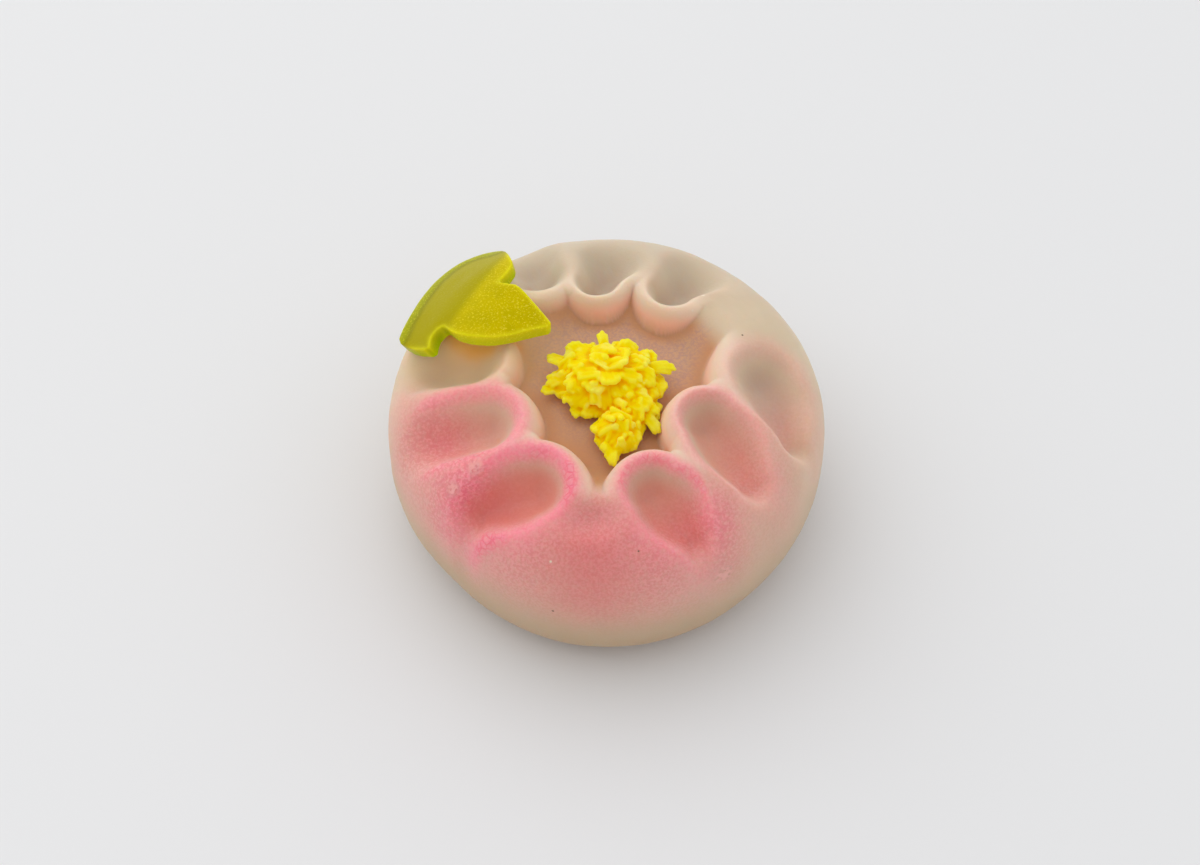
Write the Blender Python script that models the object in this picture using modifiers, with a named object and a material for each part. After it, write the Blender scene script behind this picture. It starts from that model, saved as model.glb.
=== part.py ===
"""A bean-paste sweet shaped as a flower: a pressed bun with nine petals round a hollow, a heap of
yellow sieved-paste stamens in the hollow, and a sheet of green jelly cut as a leaf and laid over the
bun's back left shoulder. Lengths are in millimetres until a mesh is made. +Z is up, -Y is the front.
"""

import math
import random

import bmesh
import bpy
import numpy as np
from mathutils import Vector
from mathutils.geometry import delaunay_2d_cdt

MM = 0.001

# The bun before it is pressed: a turned cushion on a flat foot
BUN_DIAMETER = 46.0
GIRTH_RADIUS = BUN_DIAMETER / 2
GIRTH_HEIGHT = 10.0
CROWN_HEIGHT = 22.9
FOOT_RADIUS = 16.0
SHOULDER_SQUARENESS = 3.0
UNDERSIDE_SQUARENESS = 2.3

# How finely the bun is turned
SEGMENTS = 100
CENTRE_FAN_RADIUS = 2.4
RING_STEP_TOP = 0.75
RING_STEP_SIDE = 1.4
RING_STEP_UNDER = 2.2
FOOT_RINGS = 2

# The hollow for the stamens, pressed round the petals
HOLLOW_CENTRE = (0.4, -1.2)
HOLLOW_DEPTH = 3.5
HOLLOW_RADIUS = 15.0
HOLLOW_RAMP = 6.0
BEAD_TOP_SHARE = 0.05

# Pressing follows the surface's normal, leaned towards the vertical, and dies out down the sides
NORMAL_LEAN = 0.5
PRESS_FLOOR = 6.0
PRESS_FADE = 6.0

# Each petal is a tapered finger mark: where its round inner end is centred, which way it runs
# outward, how long it is, its half widths at the inner and outer end and how far it bellies out
# between them, how far beyond its edge the bead of paste round it meets the hollow's floor, its
# depth, and how far that dies out towards the outer end
PETALS = (
    dict(at=(-7.2, 13.6), heading=108, length=5.0, inner=2.9, outer=3.4, belly=0.0, foot=2.0,
         depth=3.2, fade=1.0),
    dict(at=(-0.9, 11.9), heading=68, length=4.4, inner=2.2, outer=3.6, belly=0.0, foot=1.5,
         depth=3.8, fade=1.0),
    dict(at=(6.8, 10.7), heading=54, length=4.8, inner=2.3, outer=3.6, belly=0.0, foot=1.7,
         depth=3.6, fade=1.0),
    dict(at=(16.6, 0.0), heading=-67, length=6.8, inner=3.6, outer=1.8, belly=0.5, foot=2.8,
         depth=3.5, fade=0.4),
    dict(at=(10.1, -5.5), heading=-54, length=7.8, inner=3.0, outer=2.0, belly=0.9, foot=1.7,
         depth=4.2, fade=0.45),
    dict(at=(4.7, -14.1), heading=-44, length=5.8, inner=2.9, outer=1.9, belly=0.9, foot=2.1,
         depth=4.3, fade=0.4),
    dict(at=(-7.3, -13.6), heading=191, length=5.8, inner=3.4, outer=2.4, belly=0.5, foot=2.6,
         depth=4.0, fade=0.35),
    dict(at=(-12.3, -6.1), heading=183, length=5.6, inner=3.3, outer=3.2, belly=0.2, foot=2.7,
         depth=3.9, fade=0.6),
    dict(at=(-14.0, 2.0), heading=177, length=5.4, inner=3.4, outer=3.3, belly=0.0, foot=1.9,
         depth=3.4, fade=1.0),
)
FADE_START_SHARE = 0.45
LIP_SHARPNESS = 5.0
BLEND_POWER = 4

# A shallow dimple in the broad mound between the two front petals
DIMPLE_AT = (-1.6, -17.2)
DIMPLE_RADII = (4.2, 2.6)
DIMPLE_DEPTH = 1.0

# Flats left on the outline by the fingers: azimuth, how far in, and how wide in degrees
OUTLINE_FLATS = (
    (48.0, 0.3, 20.0), (222.0, 0.9, 24.0), (96.0, 0.45, 14.0), (114.0, -0.4, 14.0), (320.0, 0.35, 26.0),
)

# The pieces don't touch each other
NODE_GAP = 0.3

# The heap of stamens: two low mounds of paste and the short strands that stand out of them
HEAP_FLOOR = CROWN_HEIGHT - HOLLOW_DEPTH + NODE_GAP
HEAP_MOUNDS = (
    dict(at=(0.2, 0.0), radii=(5.2, 4.6), height=2.6),
    dict(at=(2.2, -5.3), radii=(2.9, 2.9), height=2.0),
)
HEAP_SEED = 11
STRANDS_ON_MOUND = (60, 22)
STRAND_LENGTHS = (2.2, 3.8)
STRAND_RADII = (0.52, 0.72)
STRAND_SIDES = 5
STRAND_SWAY = 0.5
STRAND_ROOT_SHARE = 0.35
STRAND_OUT_SHARE = 0.6
STRAND_LIFT = 0.05
STRAND_TILT_LOW = 6.0
STRAND_TILT_HIGH = 82.0
LOW_STRAND_POWER = 1.4
MOST_TRIES = 12
EVEN_SCATTER = (0.7548777, 0.5698403)
TIP_STRAND_FROM = (1.1, -6.8)
TIP_STRAND_TO = (0.2, -10.5)
TIP_STRAND_RADIUS = 0.75
HEAP_RING_SIDES = 20
HEAP_RINGS = 5

# The leaf's top face: its outline in plan, anticlockwise from the left tip
LEAF_OUTLINE = (
    (-21.8, 6.2), (-20.3, 4.0), (-18.2, 2.3), (-18.0, 4.2), (-17.4, 4.9), (-16.8, 5.1),
    (-16.0, 4.0), (-15.4, 3.4), (-13.9, 2.6), (-11.8, 2.2), (-9.8, 2.5), (-7.8, 3.2),
    (-5.4, 3.8), (-6.3, 5.2), (-7.8, 7.4), (-9.2, 9.3), (-10.1, 9.5), (-11.2, 10.0),
    (-10.3, 11.2), (-9.7, 12.8), (-10.2, 14.8), (-10.8, 16.8), (-11.8, 17.5), (-13.6, 18.0),
    (-15.4, 17.7), (-17.0, 16.6), (-18.4, 14.8), (-19.6, 12.6), (-20.5, 10.4), (-21.3, 8.2),
)
LEAF_THICKNESS = 1.5
LEAF_GRID = 1.1
LEAF_FLAT_HEIGHT = 24.75
LEAF_FLAT_RADIUS = 11.5
LEAF_BEND_RADIUS = 11.5
LEAF_STEEPEST = math.radians(40.0)

# Colours, in linear light
PASTE_COLOUR = (0.74, 0.49, 0.36, 1.0)
STAMEN_COLOUR = (0.88, 0.65, 0.01, 1.0)
JELLY_COLOUR = (0.45, 0.42, 0.01, 1.0)
PASTE_ROUGHNESS = 0.75
STAMEN_ROUGHNESS = 0.45
JELLY_ROUGHNESS = 0.2

SMALL = 1e-9


def smooth(value):
    """0 below 0, 1 above 1, and an even S between."""
    value = np.clip(value, 0.0, 1.0)
    return value * value * (3 - 2 * value)


def clear_scene():
    for thing in list(bpy.data.objects):
        bpy.data.objects.remove(thing)
    for group in list(bpy.data.collections):
        bpy.data.collections.remove(group)


def material(name, colour, roughness):
    made = bpy.data.materials.new(name)
    made.use_nodes = True
    shader = made.node_tree.nodes["Principled BSDF"]
    shader.inputs["Base Color"].default_value = colour
    shader.inputs["Roughness"].default_value = roughness
    return made


def add_mesh(name, points, faces, collection):
    """An object whose mesh holds these points, given in millimetres."""
    mesh = bpy.data.meshes.new(name)
    mesh.from_pydata([tuple(MM * float(value) for value in point) for point in points], [], faces)
    mesh.validate()
    thing = bpy.data.objects.new(name, mesh)
    collection.objects.link(thing)
    return thing


def apply_modifiers(thing):
    graph = bpy.context.evaluated_depsgraph_get()
    mesh = bpy.data.meshes.new_from_object(thing.evaluated_get(graph))
    thing.modifiers.clear()
    thing.data = mesh


# The bun


def crown_point(turn):
    """Radius and height on the upper side, from the axis at 0 to the girth at a quarter turn."""
    power = 2 / SHOULDER_SQUARENESS
    radius = GIRTH_RADIUS * np.sin(turn) ** power
    height = GIRTH_HEIGHT + (CROWN_HEIGHT - GIRTH_HEIGHT) * np.cos(turn) ** power
    return radius, height


def underside_point(turn):
    """Radius and height below the girth, from the girth at 0 to the foot at a quarter turn."""
    power = 2 / UNDERSIDE_SQUARENESS
    radius = FOOT_RADIUS + (GIRTH_RADIUS - FOOT_RADIUS) * np.cos(turn) ** power
    height = GIRTH_HEIGHT * (1 - np.sin(turn) ** power)
    return radius, height


def spaced(radius, height, step):
    """Points about this far apart along a dense curve, both ends kept."""
    along = np.concatenate([[0.0], np.cumsum(np.hypot(np.diff(radius), np.diff(height)))])
    count = max(2, round(along[-1] / step) + 1)
    places = np.linspace(0.0, along[-1], count)
    return np.interp(places, along, radius), np.interp(places, along, height)


def bun_profile():
    """Radius and height of each ring, from the crown's centre down to the centre of the foot."""
    dense = np.linspace(0.0, math.pi / 2, 4001)
    radius, height = crown_point(dense)
    dent_reach = height > PRESS_FLOOR + PRESS_FADE
    top = (radius >= CENTRE_FAN_RADIUS) & dent_reach
    side = ~dent_reach
    pieces = [(np.array([0.0]), np.array([CROWN_HEIGHT]))]
    pieces.append(spaced(radius[top], height[top], RING_STEP_TOP))
    pieces.append(spaced(radius[side], height[side], RING_STEP_SIDE))
    low_radius, low_height = spaced(*underside_point(dense), RING_STEP_UNDER)
    pieces.append((low_radius[1:], low_height[1:]))
    foot = np.linspace(FOOT_RADIUS, 0.0, FOOT_RINGS + 1)[1:]
    pieces.append((foot, np.zeros(len(foot))))
    return np.concatenate([piece[0] for piece in pieces]), np.concatenate([piece[1] for piece in pieces])


def turned_bun(collection):
    """The unpressed cushion, turned from its profile by a Screw."""
    radius, height = bun_profile()
    points = [(r, 0.0, z) for r, z in zip(radius, height)]
    mesh = bpy.data.meshes.new("bun")
    mesh.from_pydata([tuple(MM * float(value) for value in point) for point in points],
                     [(i, i + 1) for i in range(len(points) - 1)], [])
    bun = bpy.data.objects.new("bun", mesh)
    collection.objects.link(bun)
    screw = bun.modifiers.new("turn", "SCREW")
    screw.axis = "Z"
    screw.angle = 2 * math.pi
    screw.steps = SEGMENTS
    screw.render_steps = SEGMENTS
    screw.use_merge_vertices = True
    screw.merge_threshold = 1e-5
    screw.use_smooth_shade = True
    apply_modifiers(bun)
    return bun


def petal_place(x, y, petal):
    """Distances along and across a petal's mark, from the centre of its inner end."""
    heading = math.radians(petal["heading"])
    to_x, to_y = x - petal["at"][0], y - petal["at"][1]
    along = to_x * math.cos(heading) + to_y * math.sin(heading)
    across = to_y * math.cos(heading) - to_x * math.sin(heading)
    return along, across


def petal_half_width(along, petal):
    share = np.clip(along / petal["length"], 0.0, 1.0)
    tapered = petal["inner"] + (petal["outer"] - petal["inner"]) * smooth(share)
    return tapered + petal["belly"] * 4 * share * (1 - share)


def beyond_petal(x, y, petal):
    """How far outside the edge of a petal's mark a place is; negative inside it."""
    along, across = petal_place(x, y, petal)
    past_end = along - np.clip(along, 0.0, petal["length"])
    return np.hypot(past_end, across) - petal_half_width(along, petal)


def petal_press(x, y, petal):
    """Depth of a petal's mark: a full bowl with an eased lip, dying out towards its outer end."""
    along, _ = petal_place(x, y, petal)
    half = petal_half_width(along, petal)
    share = np.maximum((beyond_petal(x, y, petal) + half) / half, 0.0)
    bowl = np.logaddexp(0.0, LIP_SHARPNESS * (1 - share**2)) / LIP_SHARPNESS
    fade_length = (1.15 - FADE_START_SHARE) * petal["length"] + petal["outer"]
    fade = 1 - smooth((along - FADE_START_SHARE * petal["length"]) / fade_length)
    return petal["depth"] * bowl * (1 - petal["fade"] * (1 - fade))


def bead_wall(x, y, petal):
    """0 on top of the bead round a petal and 1 at its foot: a rounded side, steepest at the foot."""
    share = (beyond_petal(x, y, petal) / petal["foot"] - BEAD_TOP_SHARE) / (1 - BEAD_TOP_SHARE)
    return 1 - np.sqrt(1 - np.clip(share, 0.0, 1.0) ** 2)


def hollow_press(x, y):
    """Depth of the hollow, which leaves a bead of paste standing round every petal."""
    reach = np.hypot(x - HOLLOW_CENTRE[0], y - HOLLOW_CENTRE[1])
    depth = smooth((HOLLOW_RADIUS - reach) / HOLLOW_RAMP)
    for petal in PETALS:
        depth = depth * bead_wall(x, y, petal)
    return HOLLOW_DEPTH * depth


def dimple_press(x, y):
    off = np.hypot((x - DIMPLE_AT[0]) / DIMPLE_RADII[0], (y - DIMPLE_AT[1]) / DIMPLE_RADII[1])
    return DIMPLE_DEPTH * (0.5 + 0.5 * np.cos(math.pi * np.clip(off, 0.0, 1.0)))


def pressed_depth(x, y):
    """Total press at a place in plan: the deepest mark wins, with soft joins between marks."""
    total = hollow_press(x, y) ** BLEND_POWER
    for petal in PETALS:
        total = total + petal_press(x, y, petal) ** BLEND_POWER
    return total ** (1 / BLEND_POWER) + dimple_press(x, y)


def outline_inset(azimuth):
    """How far the flats bring the girth in at an azimuth in degrees."""
    inset = 0.0
    for at, depth, width in OUTLINE_FLATS:
        off = (azimuth - at + 180.0) % 360.0 - 180.0
        inset = inset + depth * np.exp(-((off / width) ** 2))
    return inset


def crown_height(radius):
    """Height of the unpressed crown at a radius."""
    inside = 1 - np.clip(radius / GIRTH_RADIUS, 0.0, 1.0) ** SHOULDER_SQUARENESS
    return GIRTH_HEIGHT + (CROWN_HEIGHT - GIRTH_HEIGHT) * inside ** (1 / SHOULDER_SQUARENESS)


def top_height(x, y):
    """Height of the pressed crown at a place in plan, near enough for setting things on it."""
    return crown_height(np.hypot(x, y)) - pressed_depth(x, y)


def crown_normal(radius, height):
    """Outward and upward parts of the unpressed crown's normal, leaned towards the vertical."""
    outward = np.clip(radius / GIRTH_RADIUS, 0.0, 1.0) ** (SHOULDER_SQUARENESS - 1) / GIRTH_RADIUS
    crown = CROWN_HEIGHT - GIRTH_HEIGHT
    share = np.clip((height - GIRTH_HEIGHT) / crown, 0.0, 1.0)
    upward = share ** (SHOULDER_SQUARENESS - 1) / crown
    outward = outward * NORMAL_LEAN
    size = np.hypot(outward, upward) + SMALL
    return outward / size, upward / size


def press_bun(bun):
    """Brings in the flats of the outline, then presses the hollow, the petals and the dimple."""
    points = np.empty(3 * len(bun.data.vertices))
    bun.data.vertices.foreach_get("co", points)
    points = points.reshape(-1, 3) / MM
    azimuth = np.arctan2(points[:, 1], points[:, 0])
    radius = np.hypot(points[:, 0], points[:, 1])
    outward, upward = crown_normal(radius, points[:, 2])
    inset = outline_inset(np.degrees(azimuth)) * (radius / GIRTH_RADIUS) ** 2
    points[:, 0] -= inset * np.cos(azimuth)
    points[:, 1] -= inset * np.sin(azimuth)
    depth = pressed_depth(points[:, 0], points[:, 1])
    depth = depth * smooth((points[:, 2] - PRESS_FLOOR) / PRESS_FADE)
    points[:, 0] -= depth * outward * np.cos(azimuth)
    points[:, 1] -= depth * outward * np.sin(azimuth)
    points[:, 2] -= depth * upward
    bun.data.vertices.foreach_set("co", (points * MM).ravel())
    bun.data.update()


def make_bun(collection):
    bun = turned_bun(collection)
    press_bun(bun)
    bun.data.materials.append(material("bean_paste", PASTE_COLOUR, PASTE_ROUGHNESS))
    return bun


# The stamens


def mound_point(mound, azimuth, lift):
    """A place on a mound's skin and its outward direction; lift is 0 at the rim and 90 on top."""
    across, up = math.cos(math.radians(lift)), math.sin(math.radians(lift))
    wide, deep = mound["radii"]
    place = Vector((mound["at"][0] + wide * across * math.cos(azimuth),
                    mound["at"][1] + deep * across * math.sin(azimuth),
                    HEAP_FLOOR + mound["height"] * up))
    outward = Vector((across * math.cos(azimuth) / wide, across * math.sin(azimuth) / deep,
                      up / mound["height"]))
    return place, outward.normalized()


def mound_body(name, mound, collection):
    """The plain low dome of paste under the strands."""
    points = [(*mound["at"], HEAP_FLOOR)]
    for ring in range(HEAP_RINGS):
        lift = 90.0 * ring / HEAP_RINGS
        for side in range(HEAP_RING_SIDES):
            place, _ = mound_point(mound, 2 * math.pi * side / HEAP_RING_SIDES, lift)
            points.append(tuple(place))
    points.append((*mound["at"], HEAP_FLOOR + mound["height"]))
    faces = []
    top = len(points) - 1
    for side in range(HEAP_RING_SIDES):
        beside = (side + 1) % HEAP_RING_SIDES
        faces.append((0, 1 + beside, 1 + side))
        for ring in range(HEAP_RINGS - 1):
            low, high = 1 + ring * HEAP_RING_SIDES, 1 + (ring + 1) * HEAP_RING_SIDES
            faces.append((low + side, low + beside, high + beside, high + side))
        last = 1 + (HEAP_RINGS - 1) * HEAP_RING_SIDES
        faces.append((last + side, last + beside, top))
    return add_mesh(name, points, faces, collection)


def strand_body(name, start, end, bend, radius, collection):
    """A short rounded strand of paste from start to end, bowed sideways by bend."""
    axis = (end - start).normalized()
    across = axis.cross(Vector((0.3, 0.5, 0.9))).normalized()
    over = axis.cross(across)
    shares = ((0.0, 0.75), (0.4, 1.0), (0.8, 0.95), (0.97, 0.55))
    points = []
    for share, width in shares:
        middle = start.lerp(end, share) + bend * math.sin(math.pi * share)
        for side in range(STRAND_SIDES):
            turn = 2 * math.pi * side / STRAND_SIDES
            ray = across * math.cos(turn) + over * math.sin(turn)
            points.append(tuple(middle + ray * radius * width))
    faces = [tuple(reversed(range(STRAND_SIDES)))]
    for ring in range(len(shares) - 1):
        for side in range(STRAND_SIDES):
            beside = (side + 1) % STRAND_SIDES
            low, high = ring * STRAND_SIDES, (ring + 1) * STRAND_SIDES
            faces.append((low + side, low + beside, high + beside, high + side))
    last = (len(shares) - 1) * STRAND_SIDES
    faces.append(tuple(last + side for side in range(STRAND_SIDES)))
    return add_mesh(name, points, faces, collection)


def clears_bun(start, end, radius):
    """Whether a strand stays above the bun by the gap, all along its length."""
    for share in (0.0, 0.25, 0.5, 0.75, 1.0):
        place = start.lerp(end, share)
        for turn in range(8):
            angle = math.pi * turn / 4
            x = place.x + radius * math.cos(angle)
            y = place.y + radius * math.sin(angle)
            if place.z - radius < top_height(x, y) + NODE_GAP:
                return False
    return True


def heap_strands(dice):
    """Start, end, bend and radius of every strand."""
    found = []
    for mound, count in zip(HEAP_MOUNDS, STRANDS_ON_MOUND):
        kept = 0
        for index in range(MOST_TRIES * count):
            share = (index * EVEN_SCATTER[0]) % 1.0
            lift = STRAND_TILT_LOW + (STRAND_TILT_HIGH - STRAND_TILT_LOW) * share**LOW_STRAND_POWER
            azimuth = 2 * math.pi * ((index * EVEN_SCATTER[1]) % 1.0) + dice.uniform(-0.2, 0.2)
            place, outward = mound_point(mound, azimuth, lift)
            length = dice.uniform(*STRAND_LENGTHS)
            radius = dice.uniform(*STRAND_RADII)
            sway = Vector([dice.uniform(-1.0, 1.0) for _ in range(3)])
            heading = (outward + STRAND_SWAY * sway).normalized()
            centre = Vector((*mound["at"], HEAP_FLOOR + 0.5 * mound["height"]))
            start = place.lerp(centre, STRAND_ROOT_SHARE)
            end = place + STRAND_OUT_SHARE * length * heading
            lowest = HEAP_FLOOR + radius + STRAND_LIFT
            start.z = max(start.z, lowest)
            end.z = max(end.z, lowest)
            bend = 0.25 * radius * sway
            if clears_bun(start, end, radius):
                found.append((start, end, bend, radius))
                kept += 1
            if kept == count:
                break
    lift = Vector((0.0, 0.0, HEAP_FLOOR + TIP_STRAND_RADIUS + STRAND_LIFT))
    found.append((Vector((*TIP_STRAND_FROM, 0.0)) + lift, Vector((*TIP_STRAND_TO, 0.0)) + lift,
                  Vector((0.0, 0.0, 0.3)), TIP_STRAND_RADIUS))
    return found


def keep_largest_body(thing):
    """Drops the specks that a union leaves where two strands only just break through the skin."""
    work = bmesh.new()
    work.from_mesh(thing.data)
    unseen = set(work.verts)
    bodies = []
    while unseen:
        waiting = [unseen.pop()]
        body = set(waiting)
        while waiting:
            corner = waiting.pop()
            beside = {edge.other_vert(corner) for edge in corner.link_edges} & unseen
            unseen -= beside
            body |= beside
            waiting.extend(beside)
        bodies.append(body)
    largest = max(bodies, key=len)
    specks = [corner for body in bodies if body is not largest for corner in body]
    bmesh.ops.delete(work, geom=specks, context="VERTS")
    work.to_mesh(thing.data)
    work.free()


def make_stamens(collection):
    """The mounds with every strand fused on, as one solid."""
    dice = random.Random(HEAP_SEED)
    extras = bpy.data.collections.new("strands")
    bpy.context.scene.collection.children.link(extras)
    heap = mound_body("stamens", HEAP_MOUNDS[0], collection)
    mound_body("second_mound", HEAP_MOUNDS[1], extras)
    for number, (start, end, bend, radius) in enumerate(heap_strands(dice)):
        strand_body(f"strand_{number}", start, end, bend, radius, extras)
    union = heap.modifiers.new("fuse", "BOOLEAN")
    union.operation = "UNION"
    union.operand_type = "COLLECTION"
    union.collection = extras
    union.solver = "MANIFOLD"
    apply_modifiers(heap)
    for thing in list(extras.objects):
        bpy.data.objects.remove(thing)
    bpy.data.collections.remove(extras)
    keep_largest_body(heap)
    heap.data.materials.clear()
    heap.data.materials.append(material("stamen_paste", STAMEN_COLOUR, STAMEN_ROUGHNESS))
    return heap


# The leaf


def leaf_height(x, y):
    """The leaf's top face: level over the bun's crown, then bent down over the shoulder."""
    past = math.hypot(x, y) - LEAF_FLAT_RADIUS
    curved = LEAF_BEND_RADIUS * math.sin(LEAF_STEEPEST)
    on_curve = min(max(past, 0.0), curved)
    fall = LEAF_BEND_RADIUS - math.sqrt(LEAF_BEND_RADIUS**2 - on_curve**2)
    return LEAF_FLAT_HEIGHT - fall - max(past - curved, 0.0) * math.tan(LEAF_STEEPEST)


def leaf_normal(x, y):
    step = 0.01
    slope_x = (leaf_height(x + step, y) - leaf_height(x - step, y)) / (2 * step)
    slope_y = (leaf_height(x, y + step) - leaf_height(x, y - step)) / (2 * step)
    return Vector((-slope_x, -slope_y, 1.0)).normalized()


def inside_outline(x, y, outline):
    inside = False
    for (ax, ay), (bx, by) in zip(outline, outline[1:] + outline[:1]):
        if (ay > y) != (by > y) and x < ax + (y - ay) * (bx - ax) / (by - ay):
            inside = not inside
    return inside


def outline_distance(x, y, outline):
    nearest = math.inf
    for start, end in zip(outline, outline[1:] + outline[:1]):
        start, side = Vector(start), Vector(end) - Vector(start)
        share = min(max((Vector((x, y)) - start).dot(side) / side.length_squared, 0.0), 1.0)
        nearest = min(nearest, (Vector((x, y)) - start - share * side).length)
    return nearest


def leaf_grid(outline):
    """The outline's corners and the grid places inside it, split into triangles."""
    places = [Vector(corner) for corner in outline]
    rim = [(i, (i + 1) % len(outline)) for i in range(len(outline))]
    low = [min(corner[axis] for corner in outline) for axis in (0, 1)]
    high = [max(corner[axis] for corner in outline) for axis in (0, 1)]
    rows = math.ceil((high[1] - low[1]) / LEAF_GRID)
    columns = math.ceil((high[0] - low[0]) / LEAF_GRID)
    for row in range(rows):
        for column in range(columns):
            x = low[0] + (column + 0.5 * (row % 2)) * LEAF_GRID
            y = low[1] + row * LEAF_GRID
            if inside_outline(x, y, outline) and outline_distance(x, y, outline) > 0.5 * LEAF_GRID:
                places.append(Vector((x, y)))
    made = delaunay_2d_cdt(places, rim, [list(range(len(outline)))], 1, 1e-6)
    return made[0], [tuple(face) for face in made[2]]


def make_leaf(collection):
    """A sheet of even thickness with both faces split alike, closed by its cut edge."""
    outline = tuple(LEAF_OUTLINE)
    places, triangles = leaf_grid(outline)
    count = len(places)
    tops = []
    undersides = []
    for place in places:
        top = Vector((place.x, place.y, leaf_height(place.x, place.y)))
        tops.append(tuple(top))
        undersides.append(tuple(top - LEAF_THICKNESS * leaf_normal(place.x, place.y)))
    faces = list(triangles)
    faces += [tuple(count + corner for corner in reversed(face)) for face in triangles]
    sides = {}
    for face in triangles:
        for start, end in zip(face, face[1:] + face[:1]):
            sides[(start, end)] = True
    for start, end in sides:
        if (end, start) not in sides:
            faces.append((end, start, count + start))
            faces.append((end, count + start, count + end))
    leaf = add_mesh("leaf", tops + undersides, faces, collection)
    leaf.data.materials.append(material("green_jelly", JELLY_COLOUR, JELLY_ROUGHNESS))
    return leaf


def face_outwards(thing):
    work = bmesh.new()
    work.from_mesh(thing.data)
    bmesh.ops.recalc_face_normals(work, faces=work.faces)
    work.to_mesh(thing.data)
    work.free()


def centre_in_plan(pieces):
    """Moves every mesh so that the whole stands on the origin by the middle of its box."""
    corners = [vertex.co for piece in pieces for vertex in piece.data.vertices]
    middle = Vector((0.0, 0.0, 0.0))
    for axis in (0, 1):
        values = [corner[axis] for corner in corners]
        middle[axis] = (min(values) + max(values)) / 2
    for piece in pieces:
        for vertex in piece.data.vertices:
            vertex.co = vertex.co - middle


def main():
    clear_scene()
    sweet = bpy.data.collections.new("flower_sweet")
    bpy.context.scene.collection.children.link(sweet)
    pieces = (make_bun(sweet), make_stamens(sweet), make_leaf(sweet))
    for piece in pieces:
        face_outwards(piece)
    centre_in_plan(pieces)


main()
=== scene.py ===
"""How the flower-shaped bean-paste sweet looks: the pressed bun with its pink dusting, the yellow
sieved-paste stamens and the green jelly leaf, on a pale floor. Shapes are worked out in millimetres,
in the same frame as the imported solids, and turned into metres when a mesh is made.
"""

import math
import random

import bpy
import numpy as np
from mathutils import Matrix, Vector, noise
from mathutils.geometry import delaunay_2d_cdt


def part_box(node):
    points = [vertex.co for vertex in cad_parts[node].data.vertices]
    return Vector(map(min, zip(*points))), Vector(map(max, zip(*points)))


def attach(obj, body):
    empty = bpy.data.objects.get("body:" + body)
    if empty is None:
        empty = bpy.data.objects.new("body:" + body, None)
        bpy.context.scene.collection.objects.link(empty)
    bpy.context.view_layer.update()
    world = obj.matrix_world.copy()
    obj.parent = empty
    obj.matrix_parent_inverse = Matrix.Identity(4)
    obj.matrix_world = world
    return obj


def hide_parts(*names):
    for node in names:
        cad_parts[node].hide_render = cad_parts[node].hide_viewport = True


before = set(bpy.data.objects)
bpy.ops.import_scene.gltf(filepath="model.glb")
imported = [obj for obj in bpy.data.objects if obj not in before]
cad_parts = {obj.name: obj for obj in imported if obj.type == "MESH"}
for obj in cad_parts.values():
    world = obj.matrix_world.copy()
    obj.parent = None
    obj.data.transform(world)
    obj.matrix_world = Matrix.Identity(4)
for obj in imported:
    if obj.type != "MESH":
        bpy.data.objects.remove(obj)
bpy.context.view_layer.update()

MM = 0.001

# The photograph's frame, and the camera's place in it
PHOTO_WIDTH_PX, PHOTO_HEIGHT_PX = 1200, 865
FOCAL_PX = 2500.0
SENSOR_MM = 36.0
CAMERA_ELEVATION = math.radians(54.0)
CAMERA_DISTANCE = 263.0
AIM_HEIGHT = 12.0
AIM_PX = (606.0, 428.5)
CLIP_START = 0.01

# The bun before it is pressed: a turned cushion on a flat foot
BUN_DIAMETER = 46.0
GIRTH_RADIUS = BUN_DIAMETER / 2
GIRTH_HEIGHT = 10.0
CROWN_HEIGHT = 22.9
FOOT_RADIUS = 16.0
SHOULDER_SQUARENESS = 3.0
UNDERSIDE_SQUARENESS = 2.3

# How finely the bun is modelled
SEGMENTS = 480
RING_STEP_TOP = 0.22
RING_STEP_UNDER = 0.6
FOOT_RINGS = 6
PROFILE_POINTS = 6001

# The hollow for the stamens, pressed round the petals' beads
HOLLOW_CENTRE = (0.4, -1.2)
HOLLOW_DEPTH = 3.5
HOLLOW_RADIUS = 15.0
HOLLOW_RAMP = 6.0
BEAD_TOP_SHARE = 0.05
BEAD_ARC_SHARE = 0.985

# Pressing follows the surface's normal, leaned towards the vertical, and dies out down the sides
NORMAL_LEAN = 0.5
PRESS_FLOOR = 6.0
PRESS_FADE = 6.0

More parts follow.
